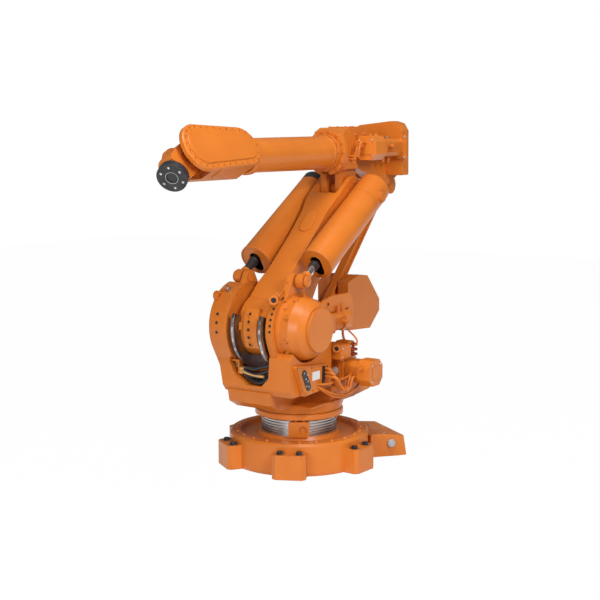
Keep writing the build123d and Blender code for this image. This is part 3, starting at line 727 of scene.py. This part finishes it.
# Near-black discs in the hub bracket's holes: painted shade
hub_hole_shade = Piece("hub_bracket_hole_shade", "lower_arm", "paint", PAINTED_SHADE)
for angle in (-24, -12, 0, 12, 24):
    seat = on_hub(angle, 0.224, -0.008)
    hub_rings.lathe([(0.0175, -0.002), (0.0175, 0.003), (0.0150, 0.005), (0.010, 0.005), (0.010, 0.001)],
                    seat, 32)
    hub_hole_shade.lathe([(0.0098, 0.0015), (0, 0.0015)], seat, 24)
hub_rings.finish()
hub_hole_shade.finish()

block_piece = Piece("loop_block", "lower_arm", "paint", ORANGE)
block_piece.prism(rounded(0.016, 0.024, 0.004), -0.006, 0.022, on_hub(4, 0.190, -0.078), 0.003)
block_piece.finish()

guide = Piece("cable_loop_bands", "lower_arm", "bright_steel", SCREW)
for side in (-1, 1):
    for angle in (-28, -14, 0, 12):
        seat = on_hub(angle, 0.2665, side * 0.100)
        guide.prism(rounded(0.006, 0.0125, 0.002), -0.004, 0.0018, seat, 0.001)
guide.finish()

arm_bolts = Piece("lower_arm_bolts", "lower_arm", "paint", ORANGE)
for side in (-1, 1):
    for x, z in ring_points(0.066, 10):
        arm_bolts.bolt(facing(AT_LOWER, x, side * 0.118, 1.110 + z, (0, side, 0)), 0.0038)
arm_bolts.finish()

head = Piece("balancer_head_faces", "lower_arm", "paint", ORANGE)
for side in (-1, 1):
    seat = facing(AT_LOWER, HEAD_X, side * 0.344, HEAD_Z, (0, side, 0))
    head.lathe([(0.031, 0), (0.031, 0.002), (0.013, 0.002), (0.012, 0.0005), (0, 0.0005)], seat, 40)
head.finish()

# Balancers

HEAD_POINT = AT_LOWER @ Vector((HEAD_X, 0, HEAD_Z))
run = HEAD_POINT - Vector((AXIS2.x, 0, FOOT_PIN))
BARREL_ANGLE = math.degrees(math.asin(run.x / math.hypot(run.x, run.z))) + BARREL_LEAD
PIN_SPAN = math.hypot(run.x, run.z)
MOUTH = 0.172 - PIN_SPAN
for side, word in ((1, "right"), (-1, "left")):
    place = shift(HEAD_POINT.x, side * BALANCER_SIDE, HEAD_POINT.z) @ turn("Y", BARREL_ANGLE)
    body_name = "balancer_barrel_" + word
    bands = Piece("barrel_bands_" + word, body_name, "paint", CAST)
    bands.lathe([(0.1035, MOUTH), (0.1062, MOUTH + 0.002), (0.1062, MOUTH + 0.018),
                 (0.1035, MOUTH + 0.020)], place, 88)
    bands.finish()
    gland = Piece("barrel_gland_" + word, body_name, "paint", CAST)
    outer = []
    inner = []
    slot_low, slot_high, slot_half = -0.050, 0.016, 0.037
    for step in range(72):
        angle = 2 * math.pi * step / 72
        outer.append((MOUTH_R * math.cos(angle), MOUTH_R * math.sin(angle)))
        middle = slot_high if math.cos(angle) > 0 else slot_low
        inner.append((middle + slot_half * math.cos(angle), slot_half * math.sin(angle)))
    gland.pierced(outer, inner, MOUTH + 0.004, MOUTH + 0.014, place)
    gland.finish()
    # Near-black lining inside the barrel, seen through the slot: painted shade
    inside_shade = Piece("barrel_inside_shade_" + word, body_name, "paint", PAINTED_SHADE)
    inside_shade.lathe([(MOUTH_R, MOUTH + 0.014), (0.0945, MOUTH + 0.016), (0.0945, -0.080), (0.0945, -0.078),
                 (0, -0.078)],
                place, 64)
    inside_shade.finish()
    top = Piece("barrel_cap_" + word, body_name, "paint", BLACK if side < 0 else CAST)
    top.lathe([(0.084, 0.1195), (0.084, 0.1240), (0.078, 0.1290), (0.030, 0.1290), (0.026, 0.1250),
               (0, 0.1250)], place, 64)
    if side < 0:
        top.lathe([(0.1041, 0.060), (0.1050, 0.061), (0.1050, 0.1180), (0.1030, 0.1215), (0.0840, 0.1215)],
                  place, 88)
    top.finish()
    trunnion = Piece("barrel_trunnion_" + word, body_name, "paint", CAST)
    for way in (-1, 1):
        seat = facing(place, 0, way * 0.098, 0, (0, way, 0))
        trunnion.lathe([(0.044, 0), (0.044, 0.0075), (0.040, 0.0085), (0.0245, 0.0085), (0.0245, 0)], seat,
                       48)
    trunnion.finish()
    rod_place = shift(AXIS2.x, side * BALANCER_SIDE, FOOT_PIN) @ turn("Y", BARREL_ANGLE)
    sleeve = Piece("rod_sleeve_" + word, "balancer_rod_" + word, "paint", BLACK)
    sleeve.lathe([(0.0262, 0.118), (0.0305, 0.120), (0.0305, 0.166), (0.0262, 0.168)], rod_place, 48)
    sleeve.lathe([(0.0262, 0.148), (0.0330, 0.150), (0.0330, 0.158), (0.0262, 0.160)], rod_place, 48)
    sleeve.finish()

# Upper arm housing

plate = Piece("housing_front_bolts", "upper_arm", "paint", ORANGE)
for y, z in ring_points(0.1340, 14):
    plate.bolt(facing(AT_UPPER, 0.149, y, 0.235 + z, (1, 0, 0)), 0.0062)
for x, y in ((0.000, 0.060), (-0.090, 0.060), (0.000, -0.060), (-0.090, -0.060), (-0.160, 0.0)):
    plate.bolt(facing(AT_UPPER, x, y, 0.395, (0, 0, 1)), 0.008)
for side in (-1, 1):
    for x, z in ((-0.040, 0.350), (-0.140, 0.350), (-0.240, 0.310), (-0.040, 0.190), (-0.140, 0.190)):
        plate.bolt(facing(AT_UPPER, x, side * 0.112, z, (0, side, 0)), 0.0075)
plate.finish()

rear = Piece("rear_cover_bolts", "upper_arm", "paint", ORANGE)
for y, z in ((-0.132, 0.130), (-0.132, 0.250), (-0.132, 0.365), (-0.020, 0.405), (0.090, 0.416),
             (0.190, 0.405),
             (0.216, 0.330), (0.216, 0.210), (0.216, 0.095), (0.150, 0.090), (0.128, 0.180), (0.128,
                                                                                              0.290)):
    rear.bolt(facing(AT_UPPER, -0.528, y, z, (-1, 0, 0)), 0.0075)
for z in (0.110, 0.230, 0.340):
    rear.bolt(facing(AT_UPPER, -0.484, 0.234, z, (0, 1, 0)), 0.0075)
rear.finish()

hatch = Piece("housing_top_hatch", "upper_arm", "paint", CAST)
hatch.prism(rounded(0.070, 0.082, 0.014), 0, 0.006, AT_UPPER @ shift(-0.070, 0, 0.3945), 0.003)
hatch.finish()

motor_details("axis_4_motor", "upper_arm", MOTOR_4, 0.412, 0.145, 0.058, 0.079,
              [(-0.050, 0.030, 0.330, (-1, 0, 0)), (-0.050, -0.012, 0.330, (-1, 0, 0)),
               (-0.012, 0.058, 0.210, (0, 1, 0)), (0.056, 0.0, 0.120, (1, 0, 0)), (0.056, 0.0, 0.190,
                                                                                   (1, 0, 0))])
# Wrist

rim = Piece("wrist_cover_bolts", "arm_tube", "paint", ORANGE)
INSET = 0.018
COVERS = ((1, 0.125, 1.535, 0.140, 1.150, 0.120), (-1, 0.105, 1.535, 0.098, 1.150, 0.078))
for side, face_y, front_x, front_r, rear_x, rear_r in COVERS:
    lean = math.asin((front_r - rear_r) / (front_x - rear_x))
    marks = []
    for step in range(10):
        angle = math.radians(90 + math.degrees(lean) - (180 + 2 * math.degrees(lean)) * step / 9)
        marks.append((front_x + (front_r - INSET) * math.cos(angle), (front_r - INSET) * math.sin(angle)))
    for step in range(7):
        angle = math.radians(90 + math.degrees(lean) + (180 - 2 * math.degrees(lean)) * step / 6)
        marks.append((rear_x + (rear_r - INSET) * math.cos(angle), (rear_r - INSET) * math.sin(angle)))
    for step in range(1, 7):
        share = step / 7
        x = rear_x + (front_x - rear_x) * share
        z = (rear_r + (front_r - rear_r) * share - INSET) / math.cos(lean)
        marks += [(x, z), (x, -z)]
    for x, z in marks:
        rim.bolt(facing(AT_WRIST, x, side * (face_y + 0.0002), z, (0, side, 0)), 0.0044)
rim.finish()

raised = Piece("wrist_cover_panel", "arm_tube", "paint", CAST)
for side, face_y, front_x, front_r, rear_x, rear_r in COVERS:
    points = []
    for step in range(25):
        angle = math.radians(90 - 180 * step / 24)
        points.append((front_x + (front_r - 0.034) * math.cos(angle), (front_r - 0.034) * math.sin(angle)))
    for step in range(25):
        angle = math.radians(-90 - 180 * step / 24)
        points.append((rear_x + (rear_r - 0.034) * math.cos(angle), (rear_r - 0.034) * math.sin(angle)))
    raised.prism(points, face_y - 0.002, face_y + 0.006, AT_WRIST @ upright(0, side), 0.004)
raised.finish()

neck = Piece("wrist_neck_flange", "arm_tube", "paint", CAST)
neck.lathe([(0.100, 0.990), (0.113, 0.994), (0.113, 1.018), (0.100, 1.030)], AT_WRIST @ turn("Y", 90), 80)
for y, z in ring_points(0.1075, 12):
    neck.bolt(facing(AT_WRIST, 0.995, y, z, (-1, 0, 0)), 0.0045)
neck.finish()

foot_plate = Piece("wrist_underside_plate", "arm_tube", "paint", ORANGE)
foot_plate.prism(rounded(0.100, 0.062, 0.012), -0.001, 0.004,
                 facing(AT_WRIST, 1.235, 0, -0.100, (0, 0, -1)) @ turn("Z", 90), 0.002)
foot_plate.finish()

tilt = Piece("tilt_housing_bolts", "wrist_tilt", "paint", ORANGE)
for side in (-1, 1):
    face = facing(AT_TILT, 0.040, side * 0.055, 0, (0, side, 0))
    tilt.lathe([(0.060, 0), (0.060, 0.0015), (0.055, 0.003), (0.030, 0.003), (0.028, 0)], face, 64)
    for x, y in ring_points(0.048, 8):
        tilt.bolt(face @ shift(x, y, 0.002), 0.004)
for x, y in ring_points(0.064, 10):
    tilt.bolt(facing(AT_TILT, 0.158, x, y, (1, 0, 0)) @ turn("X", 180) @ shift(0, 0, 0.011), 0.0045)
tilt.finish()

screws = Piece("flange_screws", "turning_disc", "bright_steel", SCREW)
for x, y in ring_points(0.0625, 6):
    seat = facing(AT_TILT, 0.1902, x, y, (1, 0, 0))
    screws.lathe([(0.0080, 0), (0.0080, 0.0092), (0.0070, 0.0102), (0.0045, 0.0102), (0.0042, 0.006),
                  (0, 0.006)],
                 seat, 24)
screws.finish()

edge = Piece("flange_edge", "turning_disc", "bright_steel", GREY)
edge.lathe([(0.0315, 0.1995), (0.0345, 0.2004), (0.0375, 0.1995)],
           AT_TILT @ turn("Y", 90), 72)
edge.finish()

# Tube ring

ring_piece = Piece("tube_clamp", "arm_tube", "paint", CAST)
ring_piece.lathe([(0.1045, 0.176), (0.1095, 0.178), (0.1095, 0.196), (0.1045, 0.198)],
                 AT_WRIST @ turn("Y", 90), 88)
for x, y in ring_points(0.1125, 12):
    ring_piece.bolt(facing(AT_WRIST, 0.1745, x, y, (1, 0, 0)), 0.0042)
ring_piece.finish()

# Camera

camera_data = bpy.data.cameras.new("camera")
camera = bpy.data.objects.new("camera", camera_data)
bpy.context.scene.collection.objects.link(camera)
CAMERA_TURN = 0.596
CAMERA_DISTANCE = 7.101
CAMERA_HEIGHT = 1.965
CAMERA_PITCH = 0.132
FOCAL_PIXELS = 1134.0
IMAGE_PIXELS = 600.0
PRINCIPAL_X = 299.1
camera_data.sensor_width = 36.0
camera_data.lens = 36.0 * FOCAL_PIXELS / IMAGE_PIXELS
camera_data.shift_x = (IMAGE_PIXELS / 2 - PRINCIPAL_X) / IMAGE_PIXELS
camera_data.clip_end = 100.0
camera.location = (CAMERA_DISTANCE * math.cos(CAMERA_TURN), CAMERA_DISTANCE * math.sin(CAMERA_TURN),
                   CAMERA_HEIGHT)
gaze = Vector((-math.cos(CAMERA_TURN) * math.cos(CAMERA_PITCH),
               -math.sin(CAMERA_TURN) * math.cos(CAMERA_PITCH),
               -math.sin(CAMERA_PITCH)))
camera.rotation_euler = gaze.to_track_quat("-Z", "Y").to_euler()
bpy.context.scene.camera = camera


# Studio

def seen_white(material, strength=1.0, share=1.0):
    """Camera, mirror and glass rays see plain white, other rays see a pale matt surface."""
    tree = material.node_tree
    tree.nodes.clear()
    output = tree.nodes.new("ShaderNodeOutputMaterial")
    glow = tree.nodes.new("ShaderNodeEmission")
    matt = tree.nodes.new("ShaderNodeBsdfDiffuse")
    mix = tree.nodes.new("ShaderNodeMixShader")
    path = tree.nodes.new("ShaderNodeLightPath")
    both = tree.nodes.new("ShaderNodeMath")
    either = tree.nodes.new("ShaderNodeMath")
    scale = tree.nodes.new("ShaderNodeMath")
    both.operation = "MAXIMUM"
    either.operation = "MAXIMUM"
    scale.operation = "MULTIPLY"
    scale.inputs[1].default_value = share
    glow.inputs["Strength"].default_value = strength
    matt.inputs["Color"].default_value = (0.88, 0.88, 0.88, 1)
    tree.links.new(path.outputs["Is Camera Ray"], both.inputs[0])
    tree.links.new(path.outputs["Is Glossy Ray"], both.inputs[1])
    tree.links.new(both.outputs[0], either.inputs[0])
    tree.links.new(path.outputs["Is Transmission Ray"], either.inputs[1])
    tree.links.new(either.outputs[0], scale.inputs[0])
    tree.links.new(scale.outputs[0], mix.inputs[0])
    tree.links.new(matt.outputs[0], mix.inputs[1])
    tree.links.new(glow.outputs[0], mix.inputs[2])
    tree.links.new(mix.outputs[0], output.inputs["Surface"])


def build_floor():
    data = bpy.data.meshes.new("studio_floor")
    half = 14.0
    data.from_pydata([(-half, -half, 0), (half, -half, 0), (half, half, 0), (-half, half, 0)], [],
                     [(0, 1, 2, 3)])
    material = bpy.data.materials.new("studio_floor")
    material.use_nodes = True
    seen_white(material, 1.0, 0.985)
    data.materials.append(material)
    floor = bpy.data.objects.new("studio_floor", data)
    floor.location.z = -0.0005
    bpy.context.scene.collection.objects.link(floor)


def build_world():
    world = bpy.data.worlds.new("studio")
    bpy.context.scene.world = world
    world.use_nodes = True
    tree = world.node_tree
    tree.nodes.clear()
    output = tree.nodes.new("ShaderNodeOutputWorld")
    path = tree.nodes.new("ShaderNodeLightPath")
    seen = tree.nodes.new("ShaderNodeBackground")
    light = tree.nodes.new("ShaderNodeBackground")
    mix = tree.nodes.new("ShaderNodeMixShader")
    seen.inputs["Color"].default_value = (1, 1, 1, 1)
    light.inputs["Color"].default_value = (1, 1, 1, 1)
    light.inputs["Strength"].default_value = 0.17
    tree.links.new(path.outputs["Is Camera Ray"], mix.inputs[0])
    tree.links.new(light.outputs[0], mix.inputs[1])
    tree.links.new(seen.outputs[0], mix.inputs[2])
    tree.links.new(mix.outputs[0], output.inputs["Surface"])


def area_light(name, place, target, size, power):
    data = bpy.data.lights.new(name, "AREA")
    data.shape = "SQUARE"
    data.size = size
    data.energy = power
    lamp = bpy.data.objects.new(name, data)
    lamp.location = place
    lamp.rotation_euler = (Vector(target) - Vector(place)).to_track_quat("-Z", "Y").to_euler()
    bpy.context.scene.collection.objects.link(lamp)


build_floor()
build_world()
area_light("key", (2.6, 6.6, 4.8), (0, 0, 1.1), 2.2, 305)
area_light("top", (1.6, 1.2, 6.0), (0, 0, 1.0), 2.6, 170)
area_light("front", (7.0, 0.6, 2.2), (0.2, 0, 1.2), 2.4, 165)
bpy.context.scene.view_settings.view_transform = "Standard"
